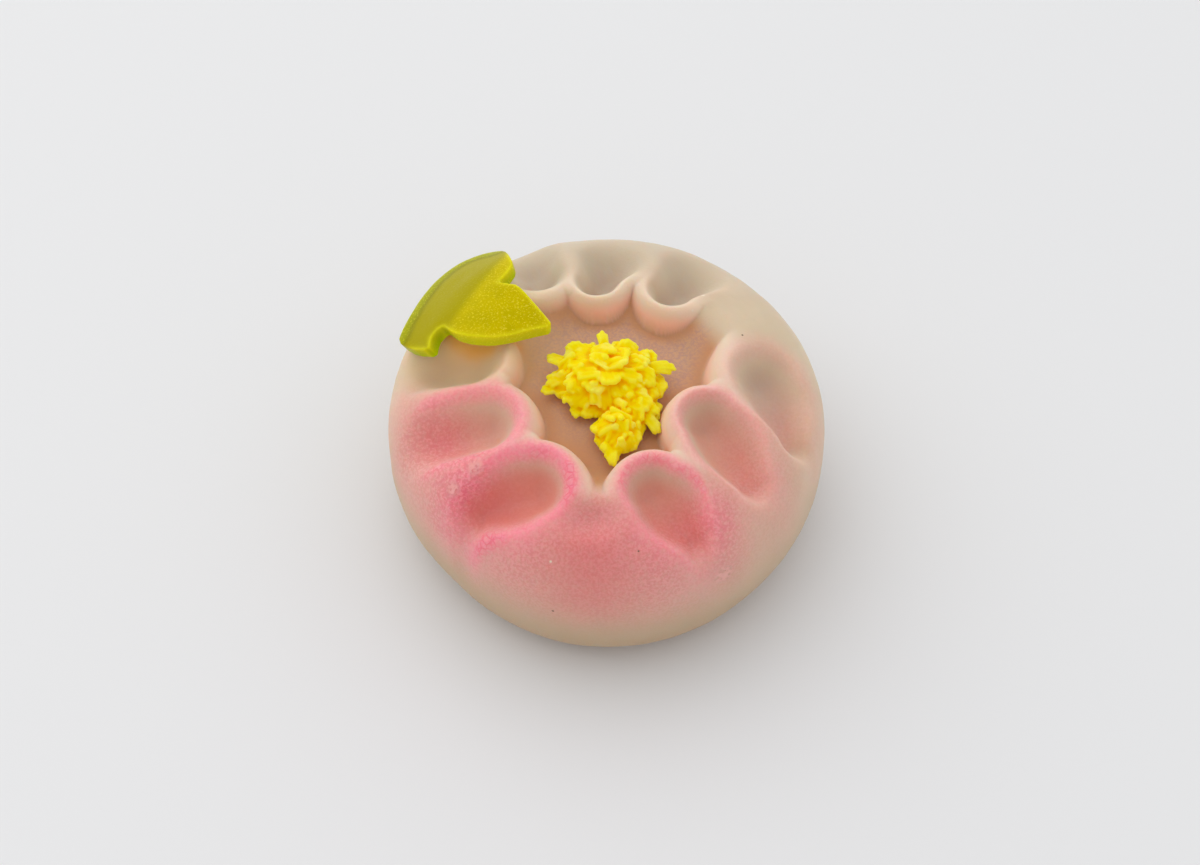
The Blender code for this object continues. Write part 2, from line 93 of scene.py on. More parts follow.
# Each petal is a tapered finger mark: where its round inner end is centred, which way it runs
# outward, how long it is, its half widths at the inner and outer end and how far it bellies out
# between them, how far beyond its edge the bead of paste round it meets the hollow's floor, its
# depth, how far that dies out towards the outer end, and how pink the bead and the mark are
PETALS = (
    dict(at=(-7.2, 13.6), heading=108, length=5.0, inner=2.9, outer=3.4, belly=0.0, foot=2.0,
         depth=3.2, fade=1.0, pink=0.0, blush=0.0),
    dict(at=(-0.9, 11.9), heading=68, length=4.4, inner=2.2, outer=3.6, belly=0.0, foot=1.5,
         depth=3.8, fade=1.0, pink=0.0, blush=0.0),
    dict(at=(6.8, 10.7), heading=54, length=4.8, inner=2.3, outer=3.6, belly=0.0, foot=1.7,
         depth=3.6, fade=1.0, pink=0.04, blush=0.0),
    dict(at=(16.6, 0.0), heading=-67, length=6.8, inner=3.6, outer=1.8, belly=0.5, foot=2.8,
         depth=3.5, fade=0.4, pink=0.22, blush=0.05),
    dict(at=(10.4, -6.0), heading=-54, length=7.3, inner=2.9, outer=2.0, belly=0.9, foot=2.2,
         depth=3.9, fade=0.45, pink=0.50, blush=0.22),
    dict(at=(4.7, -14.1), heading=-44, length=5.8, inner=2.9, outer=1.9, belly=0.9, foot=2.1,
         depth=3.8, fade=0.4, pink=0.78, blush=0.38),
    dict(at=(-7.3, -13.6), heading=191, length=5.8, inner=3.4, outer=2.4, belly=0.5, foot=2.6,
         depth=4.0, fade=0.35, pink=0.95, blush=0.62),
    dict(at=(-12.3, -6.1), heading=183, length=5.6, inner=3.3, outer=3.2, belly=0.2, foot=2.7,
         depth=3.9, fade=0.6, pink=0.82, blush=0.24),
    dict(at=(-14.0, 2.0), heading=177, length=5.4, inner=3.4, outer=3.3, belly=0.0, foot=1.9,
         depth=3.4, fade=1.0, pink=0.20, blush=0.0),
)
FADE_START_SHARE = 0.45
FADE_END_SHARE = 1.15
LIP_SHARPNESS = 5.0
BLEND_POWER = 4

# A shallow dimple in the broad mound between the two front petals
DIMPLE_AT = (-1.6, -17.2)
DIMPLE_RADII = (4.2, 2.6)
DIMPLE_DEPTH = 1.0

# Flats left on the outline by the fingers: azimuth, how far in, or out where it is negative, and
# how wide in degrees
OUTLINE_FLATS = (
    (48.0, 0.3, 20.0), (222.0, 0.9, 24.0), (96.0, 0.45, 14.0),
    (114.0, -0.4, 14.0), (320.0, 0.35, 26.0),
)

# Hand-made unevenness: size of the lumps and how far they stand, growing from the foot upwards
LUMPS = ((7.0, 0.10), (2.6, 0.045), (0.9, 0.016))
LUMPS_START = 1.0
LUMPS_RISE = 3.0

# Where pink is dusted on the bun: place in plan, radius and strength. It thins out towards the table
# and ends at the hollow
PINK_PATCHES = (
    ((-18.0, -6.0), 4.8, 0.75),
    ((-14.0, -13.0), 5.5, 0.95),
    ((-8.0, -17.5), 5.0, 0.80),
    ((-1.2, -19.6), 5.4, 0.85),
    ((5.0, -19.0), 4.8, 0.78),
    ((10.5, -16.5), 4.2, 0.80),
    ((16.0, -11.5), 3.8, 0.50),
    ((14.0, -6.0), 4.0, 0.40),
    ((20.0, -3.0), 4.5, 0.25),
    ((-21.0, -1.0), 3.0, 0.25),
)
PINK_LOWEST = 6.0
PINK_FADE = 9.0
PINK_HOLLOW_END = 0.6

# The pink crests of the beads, in shares of a bead's width, and where they die out along a mark,
# in shares of its length
CREST_AT = 0.15
CREST_REACH = 0.5
CREST_START = -0.5
CREST_RISE = 0.4
CREST_FADE_START = 0.9
CREST_FADE = 0.8

# How softly pink fills the marks, and how much of it is missing at their inner ends
BLUSH_BLUR = 1.6
INNER_END_BLUR = 1.2
INNER_END_SHARE = 0.9
BARE_INNER_SHARE = 0.3

# The beads' sides towards the hollow, where the pink thins and painted light makes them paler to
# lift their shade, in shares of a bead's width, and how they end at the hollow's border, in
# millimetres
LIT_EDGE_START = -0.05
BARE_EDGE_START = 0.60
BARE_EDGE_SHARE = 0.5
EDGE_RISE = 0.4
EDGE_END = 0.85
EDGE_FALL = 0.3
EDGE_BORDER = 0.5
EDGE_BORDER_BLUR = 2.5

# Where the skin's colour turns: marks begin above the sides, painted shade makes the paste browner
# near the table and greyer at the rear, and it is warmer in the front marks and hollow, and orange
# at the beads' foot
MARKS_START = 8.0
MARKS_RISE = 6.0
LOW_START = 2.0
LOW_FADE = 15.0
REAR_START_Y = 7.0
REAR_FADE = 12.0
WARM_START_Y = 0.0
WARM_FADE = 9.0
WARM_STRENGTH = 0.7
FOOT_GLOW_AT = 1.15
FOOT_GLOW_REACH = 0.45
FOOT_GLOW_STRENGTH = 0.8

# Where the skin is flushed a deeper red
FLUSHED_PATCHES = (((-1.6, -20.6), 5.0, 0.45), ((-11.5, -14.5), 2.6, 0.30))

# Where the dusting sits in coarse grains
GRAINY_PATCHES = (((-20.0, -7.0), 5.5, 1.0), ((-14.5, -12.5), 3.5, 0.9), ((11.5, -17.5), 2.6, 0.8))

# Small marks on the skin: pale broken chips, pale grains and dark specks, with their radii
CHIPS = (((11.7, -19.2), 1.0), ((-13.0, -11.1), 0.8), ((-15.3, -12.4), 0.7))
PALE_GRAINS = (((-5.4, -20.4), 0.12), ((10.1, 10.3), 0.18), ((8.9, 8.0), 0.12))
DARK_SPECKS = (((3.3, -19.9), 0.08), ((-5.3, -22.2), 0.12), ((14.1, 5.0), 0.10))
SPOT_OUTER = 1.5
SPOT_INNER = 0.6

# The heap of stamens: three low mounds of sieved paste just above the hollow's floor
NODE_GAP = 0.3
HEAP_FLOOR = CROWN_HEIGHT - HOLLOW_DEPTH + NODE_GAP
HEAP_MOUNDS = (
    dict(at=(0.2, -0.3), radii=(5.0, 3.8), height=3.7, flakes=40),
    dict(at=(2.7, -3.7), radii=(2.1, 1.8), height=2.1, flakes=10),
    dict(at=(1.3, -6.4), radii=(2.0, 2.1), height=2.4, flakes=14),
)
HEAP_SEED = 5
HEAP_UNEVEN = 0.10
HEAP_LUMP = 1.1
GOLDEN_TURN = math.pi * (3 - math.sqrt(5))

# The flakes that cover the mounds: each is a row of rounded lobes, fused side by side
LOBE_RADII = (0.32, 0.42)
LOBES_IN_FLAKE = (4, 7)
LOBE_SPACING = 0.38
LOBE_ROUNDING = 1.0
LOBE_LENGTH = 2.6
LOBE_PROUD = (-0.05, 0.25)
LOBE_RISE = 0.28
LOBE_SWAY = 0.45
LOBE_TILT = 0.35
LOBE_RAGGED = 0.2
LOBE_ROOT_SPREAD = 0.25
LOBE_FLATNESS = (0.8, 1.0)

# Flat ridged flakes round the rim of the heap: where the tip is in plan, its height above the floor
# of the hollow and the flake's width
RIM_FLAKES = (
    ((-7.4, -1.6), 0.7, 1.6), ((-6.6, -0.5), 1.2, 2.2), ((-6.5, 2.3), 1.9, 1.9),
    ((-4.4, 3.5), 2.4, 2.6), ((-2.3, 3.9), 2.4, 2.0), ((-0.5, 5.2), 2.8, 1.3),
    ((1.2, 4.5), 2.2, 1.0), ((3.1, 4.0), 2.4, 2.6), ((5.4, 2.8), 2.0, 2.2),
    ((7.5, 0.9), 1.8, 1.7), ((6.9, -1.1), 1.1, 1.9), ((5.7, -2.9), 1.3, 1.9),
    ((5.8, -4.8), 1.6, 1.9), ((5.7, -7.0), 0.8, 1.3), ((-4.9, -3.4), 1.2, 2.0),
    ((-3.6, -4.9), 0.5, 1.8), ((0.5, -11.3), 0.6, 0.8), ((0.3, -10.8), 0.7, 1.8),
    ((0.0, -10.2), 0.8, 2.6), ((3.2, -9.3), 0.5, 2.0),
)
FLAKE_STRAND_RADIUS = 0.27
STRAND_SPACING = 0.40
FLAKE_ROOT_SHARE = 0.45
FLAKE_NARROWING = 0.6
FLAKE_ROLL = 0.35
FLAKE_ROOT_LIFT = 0.4
FLAKE_BEND = 0.5
FLAKE_RAGGED = 0.35
FLAKE_ROUNDING = 0.6

# A strand or lobe swells from its root to its rounded end
STRAND_UNEVEN = (0.95, 1.2)
STRAND_ROOT_WIDTH = 0.8
STRAND_SWELL = 0.2
STRAND_TURN_RISE = 0.3
STRAND_CROWDING = 1.5

# How finely the heap is modelled, and how its crevices are found
STRAND_SIDES = 10
STRAND_RINGS = 9
MOUND_SIDES = 32
MOUND_RINGS = 10
HEAP_VOXEL = 0.09
HEAP_SMOOTHING = 6
HEAP_SOFTENING = 0.5
CREVICE_STEPS = 60
CREVICE_DEPTH = 0.2

# The leaf's top face: its outline in plan, anticlockwise from the left tip
LEAF_OUTLINE = (
    (-21.8, 6.2), (-20.3, 4.0), (-18.2, 2.3), (-18.0, 4.2), (-17.4, 4.9), (-16.8, 5.1),
    (-16.0, 4.0), (-15.4, 3.4), (-13.9, 2.6), (-11.8, 2.2), (-9.8, 2.5), (-7.8, 3.2),
    (-5.4, 3.8), (-6.3, 5.2), (-7.8, 7.4), (-9.2, 9.3), (-10.1, 9.5), (-11.2, 10.0),
    (-10.3, 11.2), (-9.7, 12.8), (-10.2, 14.8), (-10.8, 16.8), (-11.8, 17.5), (-13.6, 18.0),
    (-15.4, 17.7), (-17.0, 16.6), (-18.4, 14.8), (-19.6, 12.6), (-20.5, 10.4), (-21.3, 8.2),
)
LEAF_CORNER_CUT = 0.22
LEAF_THICKNESS = 1.5
LEAF_GRID = 0.4
LEAF_RIM_SHARE = 0.6
LEAF_MERGE = 1e-6
LEAF_FLAT_HEIGHT = 24.75
LEAF_FLAT_RADIUS = 11.5
LEAF_BEND_RADIUS = 11.5
LEAF_STEEPEST = math.radians(40.0)
LEAF_EDGE_ROUND = 0.22
LEAF_EDGE_SEGMENTS = 3
LEAF_EDGE_ANGLE = math.radians(55.0)
LEAF_UNEVEN = 0.05
LEAF_LUMP = 2.5
LEAF_SEED = 3

# The leaf's outer arc, from its rear corner round to the left tip, has a band with a darker line of
# painted shade along it. The other edges have a pale lip of painted highlight, and painted light
# makes the part to the right of the crease brighter
LEAF_ARC_START = 22
LEAF_ARC = LEAF_OUTLINE[LEAF_ARC_START:] + LEAF_OUTLINE[:1]
LEAF_BAND = 1.0
LEAF_BAND_BLUR = 0.3
LEAF_LINE_OFF = 0.25
LEAF_LIP = 0.3
LEAF_LIP_START = 2.0
LEAF_SIDE_START = 0.25
LEAF_SIDE_RISE = 0.35
LEAF_CREASE = ((-12.0, 12.0), (-15.2, 6.2))
LEAF_CREASE_BLUR = 1.4

# Light that comes through the leaf: a narrow glow on the paste along its front edge, in a wide
# faint one
GLOW_CORNERS = slice(5, 11)
GLOW_OFF = 1.9
GLOW_PATH = tuple((x, y + GLOW_OFF) for x, y in LEAF_OUTLINE[GLOW_CORNERS])
GLOW_REACH = 0.9
GLOW_STRENGTH = 0.85
LIT_REACH = 4.5
LIT_STRENGTH = 0.6

# Light and floor
FLOOR_HALF_SIZE = 1.5
FLOOR_ALBEDO = (0.83, 0.82, 0.81, 1.0)
SKY_COLOUR = (0.95, 0.97, 1.0, 1.0)
SKY_STRENGTH_FRONT = 0.66
SKY_STRENGTH_BACK = 1.06
KEY_PLACE = (-0.32, 0.24, 0.52)
KEY_SIZE = 0.9
KEY_POWER = 1.25
KEY_COLOUR = (1.0, 0.99, 0.97)

SMALL = 1e-9


def smooth(value):
    """0 below 0, 1 above 1, and an even S between."""
    value = np.clip(value, 0.0, 1.0)
    return value * value * (3 - 2 * value)


def bell(value):
    """1 at 0, falling off softly to both sides."""
    return np.exp(-(value**2))


# Shapes shared with the solids


def crown_point(turn):
    """Radius and height on the upper side, from the axis at 0 to the girth at a quarter turn."""
    power = 2 / SHOULDER_SQUARENESS
    radius = GIRTH_RADIUS * np.sin(turn) ** power
    height = GIRTH_HEIGHT + (CROWN_HEIGHT - GIRTH_HEIGHT) * np.cos(turn) ** power
    return radius, height


def underside_point(turn):
    """Radius and height below the girth, from the girth at 0 to the foot at a quarter turn."""
    power = 2 / UNDERSIDE_SQUARENESS
    radius = FOOT_RADIUS + (GIRTH_RADIUS - FOOT_RADIUS) * np.cos(turn) ** power
    height = GIRTH_HEIGHT * (1 - np.sin(turn) ** power)
    return radius, height


def spaced(radius, height, step):
    """Points about this far apart along a dense curve, both ends kept."""
    along = np.concatenate([[0.0], np.cumsum(np.hypot(np.diff(radius), np.diff(height)))])
    count = max(2, round(along[-1] / step) + 1)
    places = np.linspace(0.0, along[-1], count)
    return np.interp(places, along, radius), np.interp(places, along, height)


def petal_place(x, y, petal):
    """Distances along and across a petal's mark, from the centre of its inner end."""
    heading = math.radians(petal["heading"])
    to_x, to_y = x - petal["at"][0], y - petal["at"][1]
    along = to_x * math.cos(heading) + to_y * math.sin(heading)
    across = to_y * math.cos(heading) - to_x * math.sin(heading)
    return along, across


def petal_half_width(along, petal):
    share = np.clip(along / petal["length"], 0.0, 1.0)
    tapered = petal["inner"] + (petal["outer"] - petal["inner"]) * smooth(share)
    return tapered + petal["belly"] * 4 * share * (1 - share)


def beyond_petal(x, y, petal):
    """How far outside the edge of a petal's mark a place is; negative inside it."""
    along, across = petal_place(x, y, petal)
    past_end = along - np.clip(along, 0.0, petal["length"])
    return np.hypot(past_end, across) - petal_half_width(along, petal)


def petal_press(x, y, petal):
    """Depth of a petal's mark: a full bowl with an eased lip, dying out towards its outer end."""
    along, _ = petal_place(x, y, petal)
    half = petal_half_width(along, petal)
    share = np.maximum((beyond_petal(x, y, petal) + half) / half, 0.0)
    bowl = np.logaddexp(0.0, LIP_SHARPNESS * (1 - share**2)) / LIP_SHARPNESS
    fade_length = (FADE_END_SHARE - FADE_START_SHARE) * petal["length"] + petal["outer"]
    fade = 1 - smooth((along - FADE_START_SHARE * petal["length"]) / fade_length)
    return petal["depth"] * bowl * (1 - petal["fade"] * (1 - fade))


def bead_wall(x, y, petal):
    """0 on top of the bead round a petal and 1 at its foot: a rounded side, steepest at the foot."""
    share = (beyond_petal(x, y, petal) / petal["foot"] - BEAD_TOP_SHARE) / (1 - BEAD_TOP_SHARE)
    share = BEAD_ARC_SHARE * np.clip(share, 0.0, 1.0)
    return (1 - np.sqrt(1 - share**2)) / (1 - math.sqrt(1 - BEAD_ARC_SHARE**2))


def hollow_reach(x, y):
    """Distance in plan from the middle of the hollow."""
    return np.hypot(x - HOLLOW_CENTRE[0], y - HOLLOW_CENTRE[1])


def hollow_share(x, y):
    """How fully a place lies in the hollow, from 0 to 1."""
    share = smooth((HOLLOW_RADIUS - hollow_reach(x, y)) / HOLLOW_RAMP)
    for petal in PETALS:
        share = share * bead_wall(x, y, petal)
    return share


def dimple_press(x, y):
    off = np.hypot((x - DIMPLE_AT[0]) / DIMPLE_RADII[0], (y - DIMPLE_AT[1]) / DIMPLE_RADII[1])
    return DIMPLE_DEPTH * (0.5 + 0.5 * np.cos(math.pi * np.clip(off, 0.0, 1.0)))


def pressed_depth(x, y):
    """Total press at a place in plan: the deepest mark wins, with soft joins between marks."""
    total = (HOLLOW_DEPTH * hollow_share(x, y)) ** BLEND_POWER
    for petal in PETALS:
        total = total + petal_press(x, y, petal) ** BLEND_POWER
    return total ** (1 / BLEND_POWER) + dimple_press(x, y)


def outline_inset(azimuth):
    """How far the flats bring the girth in at an azimuth in degrees."""
    inset = 0.0
    for at, depth, width in OUTLINE_FLATS:
        off = (azimuth - at + 180.0) % 360.0 - 180.0
        inset = inset + depth * bell(off / width)
    return inset


def crown_normal(radius, height):
    """Outward and upward parts of the unpressed crown's normal, leaned towards the vertical."""
    outward = np.clip(radius / GIRTH_RADIUS, 0.0, 1.0) ** (SHOULDER_SQUARENESS - 1) / GIRTH_RADIUS
    crown = CROWN_HEIGHT - GIRTH_HEIGHT
    share = np.clip((height - GIRTH_HEIGHT) / crown, 0.0, 1.0)
    upward = share ** (SHOULDER_SQUARENESS - 1) / crown
    outward = outward * NORMAL_LEAN
    size = np.hypot(outward, upward) + SMALL
    return outward / size, upward / size


# Mesh helpers


def place_in_scene(name, data):
    thing = bpy.data.objects.new(name, data)
    bpy.context.scene.collection.objects.link(thing)
    return thing


def add_object(name, points, faces):
    """An object whose smooth mesh holds these points, given in millimetres."""
    mesh = bpy.data.meshes.new(name)
    mesh.from_pydata((np.asarray(points) * MM).tolist(), [], faces)
    mesh.update()
    mesh.polygons.foreach_set("use_smooth", [True] * len(mesh.polygons))
    return place_in_scene(name, mesh)


def apply_modifiers(thing):
    graph = bpy.context.evaluated_depsgraph_get()
    mesh = bpy.data.meshes.new_from_object(thing.evaluated_get(graph))
    thing.modifiers.clear()
    thing.data = mesh


def set_point_values(thing, **values):
    """Stores named numbers for each point of the mesh, for its material to read."""
    for name, found in values.items():
        layer = thing.data.attributes.new(name, "FLOAT", "POINT")
        layer.data.foreach_set("value", np.asarray(found, dtype=np.float32))


def points_of(thing):
    points = np.empty(3 * len(thing.data.vertices), dtype=np.float32)
    thing.data.vertices.foreach_get("co", points)
    return points.reshape(-1, 3).astype(float) / MM


def move_points(thing, points):
    thing.data.vertices.foreach_set("co", (points * MM).ravel())
    thing.data.update()


def normals_of(thing):
    normals = np.empty(3 * len(thing.data.vertices), dtype=np.float32)
    thing.data.vertex_normals.foreach_get("vector", normals)
    return normals.reshape(-1, 3).astype(float)


def lumpy(points, size, seed):
    """Smooth noise from -1 to 1 at each point, with lumps of this size."""
    offset = Vector((17.0 * seed, -5.0 * seed, 9.0 * seed))
    return np.array([noise.noise(Vector(point) / size + offset) for point in points])


# The bun


def bun_rings():
    """Radius and height of each ring, from the crown's centre down to the centre of the foot."""
    dense = np.linspace(0.0, math.pi / 2, PROFILE_POINTS)
    top = spaced(*crown_point(dense), RING_STEP_TOP)
    under = spaced(*underside_point(dense), RING_STEP_UNDER)
    foot = np.linspace(FOOT_RADIUS, 0.0, FOOT_RINGS + 1)[1:]
    radius = np.concatenate([top[0][1:], under[0][1:], foot[:-1]])
    height = np.concatenate([top[1][1:], under[1][1:], np.zeros(len(foot) - 1)])
    return radius, height


def pressed_places(radius, height, azimuth):
    """Where the places of the unpressed bun end up, with the plan places the marks were set by."""
    inset = outline_inset(np.degrees(azimuth)) * (radius / GIRTH_RADIUS) ** 2
    x = (radius - inset) * np.cos(azimuth)
    y = (radius - inset) * np.sin(azimuth)
    outward, upward = crown_normal(radius, height)
    depth = pressed_depth(x, y) * smooth((height - PRESS_FLOOR) / PRESS_FADE)
    points = np.stack([x - depth * outward * np.cos(azimuth),
                       y - depth * outward * np.sin(azimuth),
                       height - depth * upward], axis=-1)
    return points, x, y


def ring_faces(rings, sides):
    faces = []
    top, bottom = rings * sides, rings * sides + 1
    for side in range(sides):
        beside = (side + 1) % sides
        faces.append((top, side, beside))
        for ring in range(rings - 1):
            high, low = ring * sides, (ring + 1) * sides
            faces.append((high + side, low + side, low + beside, high + beside))
        last = (rings - 1) * sides
        faces.append((last + side, bottom, last + beside))
    return faces


def nearest_edge(x, y):
    """How far outside the nearest mark's edge a place is, as a share of that mark's bead."""
    return np.min([beyond_petal(x, y, petal) / petal["foot"] for petal in PETALS], axis=0)


def petal_crest(x, y):
    """How pink the crests of the beads are: strongest just outside the edge of each mark."""
    found = 0.0
    for petal in PETALS:
        along, _ = petal_place(x, y, petal)
        off = beyond_petal(x, y, petal) / petal["foot"] - CREST_AT
        reach = 1 - petal["fade"] * smooth((along / petal["length"] - CREST_FADE_START) / CREST_FADE)
        found = np.maximum(found, petal["pink"] * bell(off / CREST_REACH) * reach)
    return found * smooth((nearest_edge(x, y) - CREST_START) / CREST_RISE)


def petal_edge(x, y, start):
    """1 on the beads' sides towards the hollow, from this share of their width to their foot."""
    off = nearest_edge(x, y)
    found = smooth((off - start) / EDGE_RISE) * (1 - smooth((off - EDGE_END) / EDGE_FALL))
    return found * smooth((HOLLOW_RADIUS + EDGE_BORDER - hollow_reach(x, y)) / EDGE_BORDER_BLUR)


def petal_depth(x, y):
    """How deep in a petal's mark a place is, from 0 to 1."""
    return np.max([petal_press(x, y, petal) / petal["depth"] for petal in PETALS], axis=0)


def petal_inner_end(x, y):
    """1 in the inner end of a petal's mark, falling to 0 outward along it."""
    found = 0.0
    for petal in PETALS:
        along, _ = petal_place(x, y, petal)
        inside = smooth(-beyond_petal(x, y, petal) / INNER_END_BLUR)
        found = np.maximum(found, inside * (1 - smooth(along / (INNER_END_SHARE * petal["length"]))))
    return found


def petal_blush(x, y):
    """How pink the bottoms of the petals' marks are."""
    return np.max([petal["blush"] * smooth(-beyond_petal(x, y, petal) / BLUSH_BLUR)
                   for petal in PETALS], axis=0)


def covered(x, y, patches):
    """How fully soft round patches cover a place, from 0 to 1."""
    bare = 1.0
    for (at_x, at_y), radius, strength in patches:
        off = np.hypot(x - at_x, y - at_y) / radius
        bare = bare * (1 - strength * bell(off))
    return 1 - bare


def pink_dusting(x, y, height):
    """How much pink is dusted on a place, from 0 to 1."""
    broad = covered(x, y, PINK_PATCHES) * (1 - BARE_INNER_SHARE * petal_inner_end(x, y))
    pink = np.maximum(broad, petal_crest(x, y))
    pink = pink * smooth((height - PINK_LOWEST) / PINK_FADE)
    pink = pink * (1 - BARE_EDGE_SHARE * petal_edge(x, y, BARE_EDGE_START))
    return pink * (1 - smooth(hollow_share(x, y) / PINK_HOLLOW_END))


def make_bun():
    """The turned bun with its marks pressed in and its skin made a little uneven."""
    radius, height = bun_rings()
    azimuths = np.arange(SEGMENTS) * 2 * math.pi / SEGMENTS
    ring_radius = np.concatenate([np.repeat(radius, SEGMENTS), [0.0, 0.0]])
    ring_height = np.concatenate([np.repeat(height, SEGMENTS), [CROWN_HEIGHT, 0.0]])
    ring_azimuth = np.concatenate([np.tile(azimuths, len(radius)), [0.0, 0.0]])
    points, x, y = pressed_places(ring_radius, ring_height, ring_azimuth)
    bun = add_object("bun_paste", points, ring_faces(len(radius), SEGMENTS))
    settle_in_plan(bun)
    points = points_of(bun)
    raised = sum(reach * lumpy(points, size, number) for number, (size, reach) in enumerate(LUMPS))
    raised = raised * smooth((ring_height - LUMPS_START) / LUMPS_RISE)
    points += normals_of(bun) * raised[:, None]
    move_points(bun, points)
    mark_bun(bun, points, x, y, ring_height)
    return bun


def mark_bun(bun, points, x, y, height):
    """Stores how the bun's skin differs from place to place, for its material to read.

    The marks go by each place in plan and height before it was pressed, and the leaf's light by
    where it lies now.
    """
    high = smooth((height - MARKS_START) / MARKS_RISE)
    foot = bell((nearest_edge(x, y) - FOOT_GLOW_AT) / FOOT_GLOW_REACH)
    off = path_distance(points[:, 0], points[:, 1], GLOW_PATH)
    set_point_values(
        bun,
        pink=pink_dusting(x, y, height),
        # painted light: the beads' sides towards the hollow, painted paler to lift their shade
        edge=petal_edge(x, y, LIT_EDGE_START) * high,
        # the marks' and hollow's browner paste, deepened in the recesses as painted shade
        dent=petal_depth(x, y) * high,
        hollow=hollow_share(x, y),
        # painted shade: darker and browner near the table, greyer at the rear
        low=1 - smooth((height - LOW_START) / LOW_FADE),
        rear=smooth((y - REAR_START_Y) / REAR_FADE),
        foot=FOOT_GLOW_STRENGTH * foot,
        blush=petal_blush(x, y) * high,
        flush=covered(x, y, FLUSHED_PATCHES) * high,
        warm=WARM_STRENGTH * smooth((WARM_START_Y - y) / WARM_FADE),
        crest=petal_crest(x, y) * high,
        grainy=covered(x, y, GRAINY_PATCHES) * high,
        glow=GLOW_STRENGTH * bell(off / GLOW_REACH) * high,
        lit=LIT_STRENGTH * bell(off / LIT_REACH) * high,
    )


def settle_in_plan(bun):
    """Moves the modelled bun so that the middle of its box is the middle of the solid's."""
    low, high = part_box("bun")
    points = points_of(bun)
    for axis in (0, 1):
        middle = (low[axis] + high[axis]) / 2 / MM
        points[:, axis] += middle - (points[:, axis].min() + points[:, axis].max()) / 2
    move_points(bun, points)


def on_skin(bun, marks):
    """Where marks given in plan lie on the bun's upper skin, with their radii, in metres."""
    points = points_of(bun)
    points = points[points[:, 2] > GIRTH_HEIGHT]
    found = []
    for (x, y), radius in marks:
        nearest = np.hypot(points[:, 0] - x, points[:, 1] - y).argmin()
        found.append((points[nearest] * MM, radius * MM))
    return found


# The stamens


def mound_place(mound, azimuth, lift):
    """A place on a mound's skin and its outward direction; lift is 0 at the rim and 90 on top."""
    across, up = math.cos(math.radians(lift)), math.sin(math.radians(lift))
    wide, deep = mound["radii"]
    place = Vector((mound["at"][0] + wide * across * math.cos(azimuth),
                    mound["at"][1] + deep * across * math.sin(azimuth),
                    HEAP_FLOOR + mound["height"] * up))
    outward = Vector((across * math.cos(azimuth) / wide, across * math.sin(azimuth) / deep,
                      up / mound["height"]))
    return place, outward.normalized()


def mound_shape(mound):
    """Points and faces of the plain low dome of paste under the flakes."""
    (at_x, at_y), (wide, deep) = mound["at"], mound["radii"]
    points = []
    for turn in np.linspace(math.pi / 2, 0.0, MOUND_RINGS + 1)[1:]:
        for side in range(MOUND_SIDES):
            azimuth = 2 * math.pi * side / MOUND_SIDES
            points.append((at_x + wide * math.cos(turn) * math.cos(azimuth),
                           at_y + deep * math.cos(turn) * math.sin(azimuth),
                           HEAP_FLOOR + mound["height"] * math.sin(turn)))
    points.append((at_x, at_y, HEAP_FLOOR + mound["height"]))
    points.append((at_x, at_y, HEAP_FLOOR))
    return points, ring_faces(MOUND_RINGS, MOUND_SIDES)


def strand_shape(start, end, bend, radius, flatness, dice):
    """Points and faces of one strand or lobe of sieved paste: thicker towards its rounded end."""
    axis = (end - start).normalized()
    turn = dice.uniform(0.0, math.pi)
    across = axis.cross(Vector((math.cos(turn), math.sin(turn), STRAND_TURN_RISE))).normalized()
    over = axis.cross(across)
    length = (end - start).length + SMALL
    points = []
    for ring in range(STRAND_RINGS):
        share = (ring + 0.5) / STRAND_RINGS
        share = 1 - (1 - share) ** STRAND_CROWDING
        to_end = min(1.0, (1 - share) * length / radius)
        width = radius * (STRAND_ROOT_WIDTH + STRAND_SWELL * share) * math.sqrt(1 - (1 - to_end) ** 2)
        middle = start.lerp(end, share) + bend * math.sin(math.pi * share)
        for side in range(STRAND_SIDES):
            turn = 2 * math.pi * side / STRAND_SIDES
            ray = across * math.cos(turn) / flatness + over * math.sin(turn) * flatness
            points.append(tuple(middle + ray * width))
    points.append(tuple(start))
    points.append(tuple(end))
    return points, ring_faces(STRAND_RINGS, STRAND_SIDES)


def mound_lobes(mound, dice):
    """Flakes of fused lobes, spread over a mound's skin like loosely packed petals."""
    found = []
    middle = Vector((*mound["at"], HEAP_FLOOR))
    for number in range(mound["flakes"]):
        lift = math.degrees(math.asin(1 - (number + 0.5) / mound["flakes"]))
        place, outward = mound_place(mound, number * GOLDEN_TURN, lift)
        aside = Vector((place.x - middle.x, place.y - middle.y, 0.0)).normalized()
        sway = Vector([dice.uniform(-1.0, 1.0) for _ in range(3)])
        downhill = (aside - aside.dot(outward) * outward).normalized()
        heading = (downhill + LOBE_RISE * outward + LOBE_SWAY * sway).normalized()
        beside = heading.cross(outward + LOBE_TILT * sway).normalized()
        proud = dice.uniform(*LOBE_PROUD)
        count = dice.randint(*LOBES_IN_FLAKE)
        for lobe in range(count):
            off = lobe - (count - 1) / 2
            radius = dice.uniform(*LOBE_RADII)
            end = place + proud * outward + LOBE_SPACING * off * beside
            shorter = LOBE_ROUNDING * (2 * off / count) ** 2 + dice.uniform(-LOBE_RAGGED, LOBE_RAGGED)
            end += (0.5 * LOBE_LENGTH - shorter) * heading
            start = end - LOBE_LENGTH * heading - LOBE_ROOT_SPREAD * LOBE_SPACING * off * beside
            lowest = HEAP_FLOOR + radius
            start.z, end.z = max(start.z, lowest), max(end.z, lowest)
            straight = Vector((0.0, 0.0, 0.0))
            found.append((start, end, straight, radius, dice.uniform(*LOBE_FLATNESS)))
    return found


def off_mound(place, mound):
    """How far a place in plan is from a mound's middle, in that mound's own radii."""
    (at_x, at_y), (wide, deep) = mound["at"], mound["radii"]
    return math.hypot((place[0] - at_x) / wide, (place[1] - at_y) / deep)


